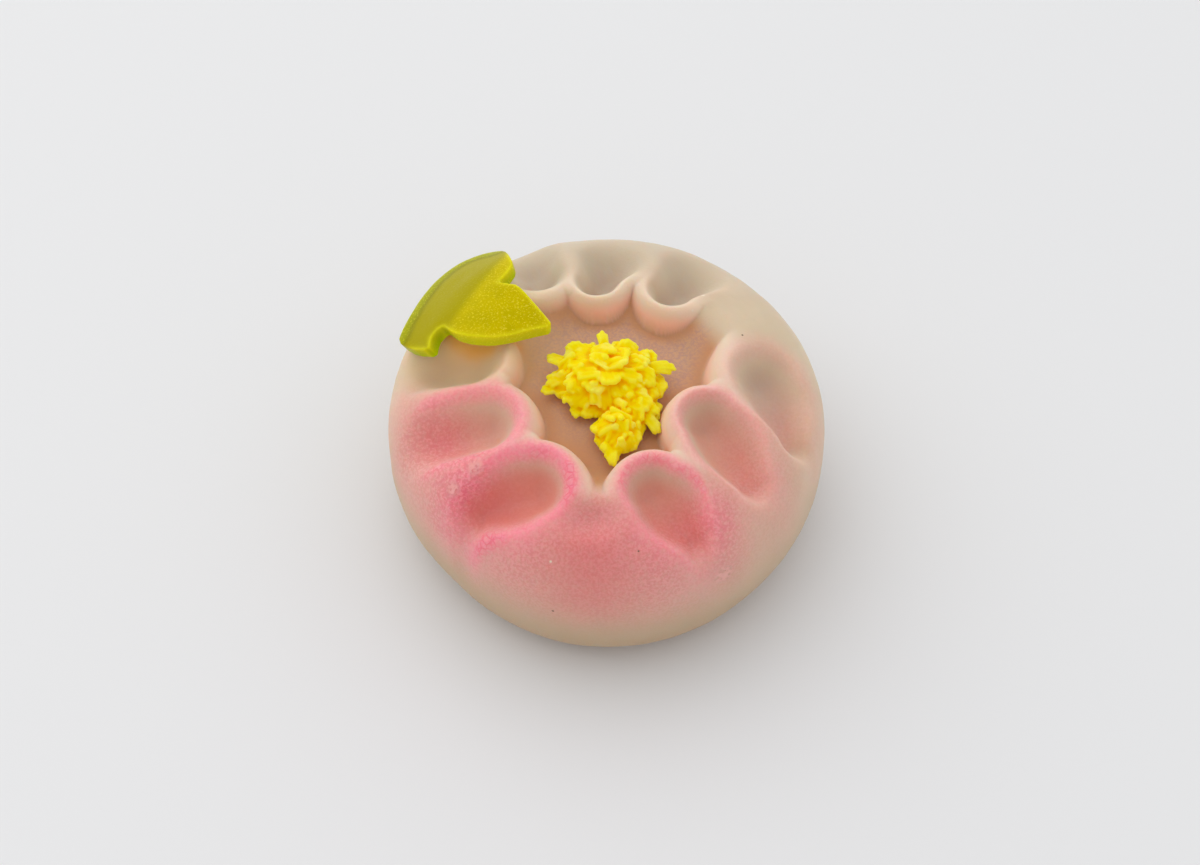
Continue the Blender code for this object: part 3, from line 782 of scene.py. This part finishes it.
def flake_strands(tip, height, width, dice):
    """One flat flake: fine strands side by side, closer at the root, their ends uneven."""
    mound = min(HEAP_MOUNDS, key=lambda mound: off_mound(tip, mound))
    end = Vector((*tip, HEAP_FLOOR + height))
    middle = Vector((*mound["at"], HEAP_FLOOR + FLAKE_ROOT_LIFT * mound["height"]))
    root = middle.lerp(end, FLAKE_ROOT_SHARE)
    heading = (end - root).normalized()
    beside = heading.cross(Vector((0.0, 0.0, 1.0))).normalized()
    over = beside.cross(heading)
    beside = (beside + dice.uniform(-FLAKE_ROLL, FLAKE_ROLL) * over).normalized()
    count = max(2, round((width - FLAKE_STRAND_RADIUS) / STRAND_SPACING))
    bend = dice.uniform(0.0, FLAKE_BEND) * over
    found = []
    for number in range(count):
        off = number - (count - 1) / 2
        shorter = dice.uniform(0.0, FLAKE_RAGGED) + FLAKE_ROUNDING * (2 * off / count) ** 2
        start = root + FLAKE_NARROWING * STRAND_SPACING * off * beside
        tip_place = end + STRAND_SPACING * off * beside - (shorter + FLAKE_STRAND_RADIUS) * heading
        radius = FLAKE_STRAND_RADIUS * dice.uniform(*STRAND_UNEVEN)
        lowest = HEAP_FLOOR + radius
        start.z, tip_place.z = max(start.z, lowest), max(tip_place.z, lowest)
        found.append((start, tip_place, bend, radius, 1.0))
    return found


def heap_strands(dice):
    """Start, end, bend, radius and flatness of every lobe and strand in the heap."""
    found = []
    for mound in HEAP_MOUNDS:
        found += mound_lobes(mound, dice)
    for tip, height, width in RIM_FLAKES:
        found += flake_strands(tip, height, width, dice)
    return found


def crevices(thing):
    """1 for points that lie in narrow gaps, 0 on crests, found by evening the mesh out."""
    points = points_of(thing)
    edges = np.empty(2 * len(thing.data.edges), dtype=np.int32)
    thing.data.edges.foreach_get("vertices", edges)
    first, second = edges[::2], edges[1::2]
    ends = np.concatenate([first, second])
    others = np.concatenate([second, first])
    count = np.bincount(ends, minlength=len(points))[:, None]
    even = points.copy()
    for _ in range(CREVICE_STEPS):
        total = [np.bincount(ends, even[others, axis], len(points)) for axis in range(3)]
        even = np.column_stack(total) / count
    sunk = ((even - points) * normals_of(thing)).sum(axis=1)
    return smooth(0.5 + sunk / (2 * CREVICE_DEPTH))


def make_stamens():
    """The mounds and strands, fused by a remesh as soft paste fuses where it touches."""
    dice = random.Random(HEAP_SEED)
    points, faces = [], []
    shapes = [mound_shape(mound) for mound in HEAP_MOUNDS]
    shapes += [strand_shape(*strand, dice) for strand in heap_strands(dice)]
    for shape_points, shape_faces in shapes:
        first = len(points)
        points += shape_points
        faces += [tuple(first + corner for corner in face) for face in shape_faces]
    heap = add_object("stamen_flakes", points, faces)
    remesh = heap.modifiers.new("fuse", "REMESH")
    remesh.mode = "VOXEL"
    remesh.voxel_size = HEAP_VOXEL * MM
    remesh.use_smooth_shade = True
    soften = heap.modifiers.new("soften", "SMOOTH")
    soften.factor = HEAP_SOFTENING
    soften.iterations = HEAP_SMOOTHING
    apply_modifiers(heap)
    uneven = points_of(heap)
    uneven += HEAP_UNEVEN * normals_of(heap) * lumpy(uneven, HEAP_LUMP, HEAP_SEED)[:, None]
    heap.data.vertices.foreach_set("co", (uneven * MM).ravel())
    set_point_values(heap, crevice=crevices(heap))
    return heap


# The leaf


def leaf_height(x, y):
    """The leaf's top face: level over the bun's crown, then bent down over the shoulder."""
    past = np.hypot(x, y) - LEAF_FLAT_RADIUS
    curved = LEAF_BEND_RADIUS * math.sin(LEAF_STEEPEST)
    on_curve = np.clip(past, 0.0, curved)
    fall = LEAF_BEND_RADIUS - np.sqrt(LEAF_BEND_RADIUS**2 - on_curve**2)
    return LEAF_FLAT_HEIGHT - fall - np.maximum(past - curved, 0.0) * math.tan(LEAF_STEEPEST)


def inside_outline(x, y, outline):
    inside = False
    for (ax, ay), (bx, by) in zip(outline, outline[1:] + outline[:1]):
        if (ay > y) != (by > y) and x < ax + (y - ay) * (bx - ax) / (by - ay):
            inside = not inside
    return inside


def path_distance(x, y, path):
    """Distance in plan from each place to an open path."""
    nearest = np.inf
    for (ax, ay), (bx, by) in zip(path[:-1], path[1:]):
        wide, deep = bx - ax, by - ay
        share = ((x - ax) * wide + (y - ay) * deep) / (wide**2 + deep**2)
        share = np.clip(share, 0.0, 1.0)
        nearest = np.minimum(nearest, np.hypot(x - ax - share * wide, y - ay - share * deep))
    return nearest


def outline_distance(x, y, outline):
    return path_distance(x, y, outline + outline[:1])


def divided(outline, step):
    """The outline with extra corners, so that none are further apart than a step."""
    corners = []
    for start, end in zip(outline, outline[1:] + outline[:1]):
        length = math.dist(start, end)
        count = max(1, math.ceil(length / step))
        for number in range(count):
            share = number / count
            corners.append(tuple(a + (b - a) * share for a, b in zip(start, end)))
    return tuple(corners)


def rounded(outline):
    """The outline with each corner cut once, which rounds it a little."""
    corners = []
    for start, end in zip(outline, outline[1:] + outline[:1]):
        for share in (LEAF_CORNER_CUT, 1 - LEAF_CORNER_CUT):
            corners.append(tuple(a + (b - a) * share for a, b in zip(start, end)))
    return tuple(corners)


def leaf_sheet():
    """Points and faces of the leaf's top face, cut to the outline and bent over the shoulder."""
    outline = divided(rounded(LEAF_OUTLINE), LEAF_GRID)
    low = [min(corner[axis] for corner in outline) for axis in (0, 1)]
    high = [max(corner[axis] for corner in outline) for axis in (0, 1)]
    places = [Vector(corner) for corner in outline]
    clear = LEAF_RIM_SHARE * LEAF_GRID
    for row in range(math.ceil((high[1] - low[1]) / LEAF_GRID)):
        for column in range(math.ceil((high[0] - low[0]) / LEAF_GRID)):
            x = low[0] + (column + 0.5 * (row % 2)) * LEAF_GRID
            y = low[1] + row * LEAF_GRID
            if inside_outline(x, y, outline) and outline_distance(x, y, outline) > clear:
                places.append(Vector((x, y)))
    rim = [(i, (i + 1) % len(outline)) for i in range(len(outline))]
    made = delaunay_2d_cdt(places, rim, [list(range(len(outline)))], 1, LEAF_MERGE)
    flat = np.array([tuple(place) for place in made[0]])
    points = np.column_stack([flat, leaf_height(flat[:, 0], flat[:, 1])])
    points[:, 2] += LEAF_UNEVEN * (lumpy(points, LEAF_LUMP, LEAF_SEED) - 1)
    return points, [tuple(face) for face in made[2]]


def make_leaf():
    """The bent sheet, thickened downwards and its edges eased."""
    leaf = add_object("leaf_jelly", *leaf_sheet())
    solid = leaf.modifiers.new("thickness", "SOLIDIFY")
    solid.thickness = LEAF_THICKNESS * MM
    solid.offset = -1.0
    ease = leaf.modifiers.new("ease", "BEVEL")
    ease.width = LEAF_EDGE_ROUND * MM
    ease.segments = LEAF_EDGE_SEGMENTS
    ease.limit_method = "ANGLE"
    ease.angle_limit = LEAF_EDGE_ANGLE
    apply_modifiers(leaf)
    mark_leaf(leaf)
    return leaf


def mark_leaf(leaf):
    """Stores where the leaf's sides, outer band, front edge and painted-lit half are."""
    points = points_of(leaf)
    x, y = points[:, 0], points[:, 1]
    under = leaf_height(x, y) - points[:, 2]
    arc = path_distance(x, y, LEAF_ARC)
    edge = outline_distance(x, y, LEAF_OUTLINE)
    (ax, ay), (bx, by) = LEAF_CREASE
    beside = ((x - ax) * (by - ay) - (y - ay) * (bx - ax)) / math.dist(*LEAF_CREASE)
    set_point_values(
        leaf,
        # painted light: the sides greener and brighter, as if lit through
        side=smooth((under - LEAF_SIDE_START) / LEAF_SIDE_RISE),
        band=1 - smooth((arc - LEAF_BAND) / LEAF_BAND_BLUR),
        # painted shade: a darker line just inside the outer band
        line=bell((arc - LEAF_BAND - LEAF_LINE_OFF) / LEAF_BAND_BLUR),
        # painted highlight: a pale line along the front edges
        lip=bell(edge / LEAF_LIP) * smooth(arc - LEAF_LIP_START),
        # painted light: the level part right of the crease is brighter
        bright=smooth(0.5 - beside / LEAF_CREASE_BLUR),
    )


# Materials


class Shader:
    """Builds one material's nodes around a Principled shader."""

    def __init__(self, name):
        self.material = bpy.data.materials.new(name)
        self.material.use_nodes = True
        self.tree = self.material.node_tree
        self.tree.nodes.clear()
        self.surface = self.tree.nodes.new("ShaderNodeBsdfPrincipled")
        output = self.tree.nodes.new("ShaderNodeOutputMaterial")
        self.tree.links.new(self.surface.outputs[0], output.inputs["Surface"])
        self.place = self.tree.nodes.new("ShaderNodeTexCoord").outputs["Object"]

    def set(self, socket, value):
        """Gives an input a plain value, or links another node's output to it."""
        if isinstance(value, bpy.types.NodeSocket):
            self.tree.links.new(value, socket)
        else:
            socket.default_value = value

    def finish(self, **values):
        """Sets the Principled shader's inputs, named with underscores for spaces."""
        for name, value in values.items():
            self.set(self.surface.inputs[name.replace("_", " ")], value)

    def value_of(self, name):
        """A number stored on the mesh."""
        found = self.tree.nodes.new("ShaderNodeAttribute")
        found.attribute_name = name
        return found.outputs["Fac"]

    def maths(self, operation, first, second, clamp=False):
        node = self.tree.nodes.new("ShaderNodeMath")
        node.operation = operation
        node.use_clamp = clamp
        self.set(node.inputs[0], first)
        self.set(node.inputs[1], second)
        return node.outputs[0]

    def times(self, first, second):
        return self.maths("MULTIPLY", first, second)

    def ramp(self, value, low, high, to_low=0.0, to_high=1.0):
        """An even S from one value to another as the input goes from low to high."""
        node = self.tree.nodes.new("ShaderNodeMapRange")
        node.interpolation_type = "SMOOTHSTEP"
        for socket, given in zip(node.inputs, (value, low, high, to_low, to_high)):
            self.set(socket, given)
        return node.outputs[0]

    def mix(self, first, second, share):
        """A colour between two others."""
        node = self.tree.nodes.new("ShaderNodeMix")
        node.data_type = "RGBA"
        self.set(node.inputs[0], share)
        self.set(node.inputs[6], first)
        self.set(node.inputs[7], second)
        return node.outputs[2]

    def noise(self, size, detail, roughness=0.5):
        """Noise from about 0 to 1 whose lumps are this many millimetres across."""
        node = self.tree.nodes.new("ShaderNodeTexNoise")
        node.inputs["Scale"].default_value = 1 / (size * MM)
        node.inputs["Detail"].default_value = detail
        node.inputs["Roughness"].default_value = roughness
        self.set(node.inputs["Vector"], self.place)
        return node.outputs["Fac"]

    def cell_edges(self, size):
        """Distance to the edge between two cells of scattered points."""
        node = self.tree.nodes.new("ShaderNodeTexVoronoi")
        node.feature = "DISTANCE_TO_EDGE"
        node.inputs["Scale"].default_value = 1 / (size * MM)
        self.set(node.inputs["Vector"], self.place)
        return node.outputs["Distance"]

    def spots(self, marks):
        """1 at the middle of each small round mark, falling to 0 outside it."""
        found = 0.0
        for place, radius in marks:
            off = self.tree.nodes.new("ShaderNodeVectorMath")
            off.operation = "DISTANCE"
            self.set(off.inputs[0], self.place)
            off.inputs[1].default_value = place
            near = self.ramp(off.outputs["Value"], SPOT_OUTER * radius, SPOT_INNER * radius)
            found = self.maths("MAXIMUM", near, found)
        return found

    def bump(self, height, distance, strength, under=None):
        """Normals for a relief this many millimetres deep, over another relief if there is one."""
        node = self.tree.nodes.new("ShaderNodeBump")
        node.inputs["Distance"].default_value = distance * MM
        node.inputs["Strength"].default_value = strength
        self.set(node.inputs["Height"], height)
        if under is not None:
            self.set(node.inputs["Normal"], under)
        return node.outputs[0]


def linear(red, green, blue):
    """A shader colour from the 0 to 255 values seen on a screen, by the usual screen curve."""
    parts = [part / 255 for part in (red, green, blue)]
    parts = [part / 12.92 if part <= 0.04045 else ((part + 0.055) / 1.055) ** 2.4 for part in parts]
    return (*parts, 1.0)


PASTE = linear(219, 197, 167)
PASTE_PATCHES = linear(213, 191, 160)
# Painted shade: greyer at the rear and browner near the table
PASTE_REAR_SHADE = linear(206, 188, 162)
PASTE_LOW_SHADE = linear(188, 158, 126)
# The marks' and hollow's browner paste, partly painted shade of the recesses
PASTE_DENT_AND_SHADE = linear(198, 172, 150)
PASTE_DENT_WARM = linear(236, 180, 150)
PASTE_FLOOR_AND_SHADE = linear(212, 165, 129)
PASTE_FLOOR_GRAIN = linear(196, 152, 134)
PASTE_FLOOR_WARM = linear(200, 144, 100)
PASTE_FLOOR_FOOT = linear(206, 146, 98)
# Painted light: the beads' sides towards the hollow, paler to lift their shade
PASTE_BEAD_LIT = linear(233, 212, 187)
PASTE_BEAD_FOOT_LIT = linear(255, 210, 188)
PASTE_LIT = linear(255, 214, 158)
PASTE_GLOW = linear(255, 180, 66)
PASTE_CHIP = linear(244, 186, 176)
PASTE_GRAIN = linear(232, 216, 196)
PASTE_SPECK = linear(130, 94, 74)

PINK = linear(250, 154, 162)
PINK_GRAIN = linear(236, 120, 132)
PINK_CREST = linear(255, 148, 166)
PINK_COARSE = linear(232, 98, 122)
PINK_BLUSH = linear(228, 128, 110)
PINK_FLUSH = linear(220, 124, 112)
PINK_CRACKLE = linear(240, 96, 124)

YELLOW = linear(255, 220, 2)
# Painted shade in the crevices; painted highlights on the crests and in pale spots
YELLOW_CREVICE_SHADE = linear(250, 190, 0)
YELLOW_CREST_HIGHLIGHT = linear(252, 234, 70)
YELLOW_HIGHLIGHT_SPOT = linear(252, 240, 130)
YELLOW_SHEEN = linear(255, 236, 60)

GREEN = linear(168, 155, 0)
# Painted light: the brighter half, greener sides, glints and pale lip; painted shade: the darker line
GREEN_LIT_FACET = linear(201, 181, 0)
GREEN_CLOUD = linear(170, 158, 0)
GREEN_BAND = linear(160, 160, 0)
GREEN_SHADE_LINE = linear(120, 120, 0)
GREEN_SIDE_LIT = linear(168, 196, 0)
GREEN_GLINT = linear(240, 224, 60)
GREEN_LIP_HIGHLIGHT = linear(226, 222, 40)
GREEN_SHEEN = linear(236, 236, 60)

# Between these, noise is turned from 0 to 1
MIDDLING = (0.35, 0.65)


def bean_paste(bun):
    """Beige paste dusted with grains of pink, browner in the hollow and the petals' marks: partly its
    own colour, partly painted shade.
    """
    shader = Shader("bean_paste")
    mix, ramp, times, value_of = shader.mix, shader.ramp, shader.times, shader.value_of
    names = ("pink", "dent", "crest", "edge", "hollow", "warm")
    pink, dent, crest, edge, hollow, warm = map(value_of, names)
    broad = shader.noise(5.0, 3.0)
    fine = shader.noise(0.45, 4.0, 0.6)
    grain = ramp(shader.noise(0.28, 2.0, 0.6), *MIDDLING)

    colour = mix(PASTE, PASTE_PATCHES, ramp(broad, *MIDDLING))
    # painted shade: greyer at the rear, browner near the table
    colour = mix(colour, PASTE_REAR_SHADE, value_of("rear"))
    colour = mix(colour, PASTE_LOW_SHADE, value_of("low"))
    # the marks' browner paste, deeper with their depth: partly painted shade
    dented = mix(PASTE_DENT_AND_SHADE, PASTE_DENT_WARM, warm)
    colour = mix(colour, dented, ramp(dent, 0.35, 0.95, 0.0, 0.75))
    # the hollow's browner floor: partly painted shade of the recess
    floor = mix(PASTE_FLOOR_AND_SHADE, PASTE_FLOOR_GRAIN, grain)
    floor = mix(floor, PASTE_FLOOR_WARM, warm)
    floor = mix(floor, PASTE_FLOOR_FOOT, value_of("foot"))
    colour = mix(colour, floor, ramp(hollow, 0.1, 0.6, 0.0, 0.95))
    # painted light: the beads' sides towards the hollow are painted paler to lift their shade
    beside = mix(PASTE_BEAD_LIT, PASTE_BEAD_FOOT_LIT, ramp(hollow, 0.12, 0.6))
    colour = mix(colour, beside, times(edge, 0.85))

    patchy = ramp(fine, 0.3, 0.6, 0.8, 1.0)
    dusted = shader.maths("MULTIPLY", pink, patchy, clamp=True)
    coarse = ramp(shader.noise(0.34, 2.0), 0.44, 0.56)
    coarse = times(coarse, value_of("grainy"))
    pinks = mix(PINK, PINK_GRAIN, grain)
    pinks = mix(pinks, PINK_CREST, times(crest, 0.7))
    pinks = mix(pinks, PINK_COARSE, times(coarse, 0.75))
    colour = mix(colour, pinks, dusted)
    colour = mix(colour, PINK_BLUSH, value_of("blush"))
    colour = mix(colour, PINK_FLUSH, value_of("flush"))
    crackle = ramp(shader.cell_edges(0.7), 0.16, 0.02)
    crackle = times(crackle, ramp(broad, 0.4, 0.6))
    crackle = times(crackle, ramp(crest, 0.5, 1.0, 0.0, 0.55))
    colour = mix(colour, PINK_CRACKLE, crackle)

    colour = mix(colour, PASTE_LIT, value_of("lit"))
    colour = mix(colour, PASTE_GLOW, value_of("glow"))
    chipped = times(shader.spots(on_skin(bun, CHIPS)), ramp(fine, 0.4, 0.5))
    colour = mix(colour, PASTE_CHIP, times(chipped, 0.6))
    colour = mix(colour, PASTE_GRAIN, shader.spots(on_skin(bun, PALE_GRAINS)))
    colour = mix(colour, PASTE_SPECK, shader.spots(on_skin(bun, DARK_SPECKS)))

    relief = shader.bump(chipped, 0.15, 0.8)
    relief = shader.bump(crackle, -0.08, 1.0, under=relief)
    relief = shader.bump(fine, 0.05, 0.5, under=relief)
    normal = shader.bump(grain, 0.015, 0.5, under=relief)
    shader.finish(Base_Color=colour, Normal=normal, Roughness=0.6, IOR=1.42,
                  Subsurface_Weight=0.9, Subsurface_Radius=(1.0, 0.5, 0.32),
                  Subsurface_Scale=1.5 * MM)
    return shader.material


def stamen_paste():
    """Soft yellow paste, painted shade deeper orange where the flakes meet, and painted highlights.
    """
    shader = Shader("stamen_paste")
    mix, ramp, times = shader.mix, shader.ramp, shader.times
    crevice = shader.value_of("crevice")
    # painted shade: deeper orange in the crevices where the flakes meet
    colour = mix(YELLOW, YELLOW_CREVICE_SHADE, ramp(crevice, 0.52, 0.95))
    # painted highlight: paler on the crests
    colour = mix(colour, YELLOW_CREST_HIGHLIGHT, ramp(crevice, 0.42, 0.05, 0.0, 0.5))
    # painted highlight: soft pale spots on the lobes' tops, away from the crevices
    cloud = ramp(shader.noise(1.5, 1.0), 0.5, 0.7)
    highlight_spots = times(cloud, ramp(crevice, 0.55, 0.4))
    colour = mix(colour, YELLOW_HIGHLIGHT_SPOT, times(highlight_spots, 0.3))
    normal = shader.bump(shader.noise(0.3, 3.0, 0.6), 0.04, 0.4)
    shader.finish(Base_Color=colour, Normal=normal, Roughness=0.5, IOR=1.36,
                  Specular_IOR_Level=0.12, Specular_Tint=YELLOW_SHEEN,
                  Subsurface_Weight=0.85, Subsurface_Radius=(1.0, 0.8, 0.05),
                  Subsurface_Scale=1.4 * MM)
    return shader.material


def green_jelly():
    """Clear yellow-green jelly with a finely speckled skin, greener in its outer band. Painted light
    makes its sides greener and the half right of the crease brighter and glints on the specks;
    painted shade darkens a line along the band.
    """
    shader = Shader("green_jelly")
    mix, ramp, times = shader.mix, shader.ramp, shader.times
    bright, side, band, line, lip = map(shader.value_of, ("bright", "side", "band", "line", "lip"))
    cloud = ramp(shader.noise(2.0, 2.0), *MIDDLING)
    speckle = ramp(shader.noise(0.2, 2.0, 0.6), 0.52, 0.7)
    # painted light: brighter right of the crease, where the top lies level
    colour = mix(GREEN, GREEN_LIT_FACET, bright)
    colour = mix(colour, GREEN_CLOUD, times(cloud, 0.3))
    colour = mix(colour, GREEN_BAND, band)
    # painted shade: a darker line inside the outer band
    colour = mix(colour, GREEN_SHADE_LINE, times(line, 0.7))
    # painted light: the sides greener and brighter, as if lit through
    colour = mix(colour, GREEN_SIDE_LIT, side)
    # painted glints: pale specks where the skin catches light, on the lit half and the band
    shown = shader.maths("MAXIMUM", shader.maths("MAXIMUM", bright, band), 0.12)
    colour = mix(colour, GREEN_GLINT, times(speckle, times(shown, 0.6)))
    # painted highlight: a pale line along the front edges
    colour = mix(colour, GREEN_LIP_HIGHLIGHT, times(lip, 0.5))
    normal = shader.bump(speckle, 0.02, 0.6)
    shader.finish(Base_Color=colour, Normal=normal, Roughness=0.3, IOR=1.34,
                  Specular_IOR_Level=0.06, Specular_Tint=GREEN_SHEEN,
                  Subsurface_Weight=0.9, Subsurface_Radius=(1.0, 1.05, 0.1),
                  Subsurface_Scale=1.2 * MM)
    return shader.material


def pale_floor():
    shader = Shader("pale_floor")
    shader.finish(Base_Color=FLOOR_ALBEDO, Roughness=0.85)
    return shader.material


# Stage, light and camera


def add_floor():
    size = FLOOR_HALF_SIZE / MM
    corners = [(-size, -size, 0.0), (size, -size, 0.0), (size, size, 0.0), (-size, size, 0.0)]
    floor = add_object("floor", corners, [(0, 1, 2, 3)])
    floor.data.materials.append(pale_floor())


def add_light():
    """A pale sky, dimmer towards the front, and a broad soft lamp behind and to the left."""
    world = bpy.data.worlds.new("sky")
    world.use_nodes = True
    nodes, links = world.node_tree.nodes, world.node_tree.links
    place = nodes.new("ShaderNodeTexCoord")
    split = nodes.new("ShaderNodeSeparateXYZ")
    dimming = nodes.new("ShaderNodeMapRange")
    links.new(place.outputs["Generated"], split.inputs[0])
    links.new(split.outputs["Y"], dimming.inputs["Value"])
    dimming.inputs["From Min"].default_value = -1.0
    dimming.inputs["To Min"].default_value = SKY_STRENGTH_FRONT
    dimming.inputs["To Max"].default_value = SKY_STRENGTH_BACK
    background = nodes["Background"]
    background.inputs["Color"].default_value = SKY_COLOUR
    links.new(dimming.outputs["Result"], background.inputs["Strength"])
    bpy.context.scene.world = world
    window = bpy.data.lights.new("window", "AREA")
    window.size = KEY_SIZE
    window.energy = KEY_POWER
    window.color = KEY_COLOUR
    lamp = place_in_scene("window", window)
    lamp.location = KEY_PLACE
    towards = Vector((0.0, 0.0, AIM_HEIGHT * MM)) - lamp.location
    lamp.rotation_euler = towards.to_track_quat("-Z", "Y").to_euler()


def add_camera():
    """The photograph's camera: it looks north and down, and its aim lands on a known pixel."""
    forward = Vector((0.0, math.cos(CAMERA_ELEVATION), -math.sin(CAMERA_ELEVATION)))
    right = Vector((1.0, 0.0, 0.0))
    up = right.cross(forward)
    off_right = (AIM_PX[0] - PHOTO_WIDTH_PX / 2) / FOCAL_PX
    off_up = (PHOTO_HEIGHT_PX / 2 - AIM_PX[1]) / FOCAL_PX
    aim = Vector((0.0, 0.0, AIM_HEIGHT))
    eye = aim - CAMERA_DISTANCE * (forward + off_right * right + off_up * up)
    lens = bpy.data.cameras.new("camera")
    lens.sensor_width = SENSOR_MM
    lens.lens = FOCAL_PX / PHOTO_WIDTH_PX * SENSOR_MM
    lens.clip_start = CLIP_START
    camera = place_in_scene("camera", lens)
    camera.location = eye * MM
    camera.rotation_euler = (math.pi / 2 - CAMERA_ELEVATION, 0.0, 0.0)
    bpy.context.scene.camera = camera
    bpy.context.scene.view_settings.view_transform = "Standard"


def dress(piece, node, material):
    """A piece of the sweet: it stands for its solid, now hidden, and takes the given material."""
    piece.data.materials.clear()
    piece.data.materials.append(material)
    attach(piece, "root")
    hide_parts(node)


def main():
    bun = make_bun()
    dress(bun, "bun", bean_paste(bun))
    dress(make_stamens(), "stamens", stamen_paste())
    dress(make_leaf(), "leaf", green_jelly())
    add_floor()
    add_light()
    add_camera()


main()
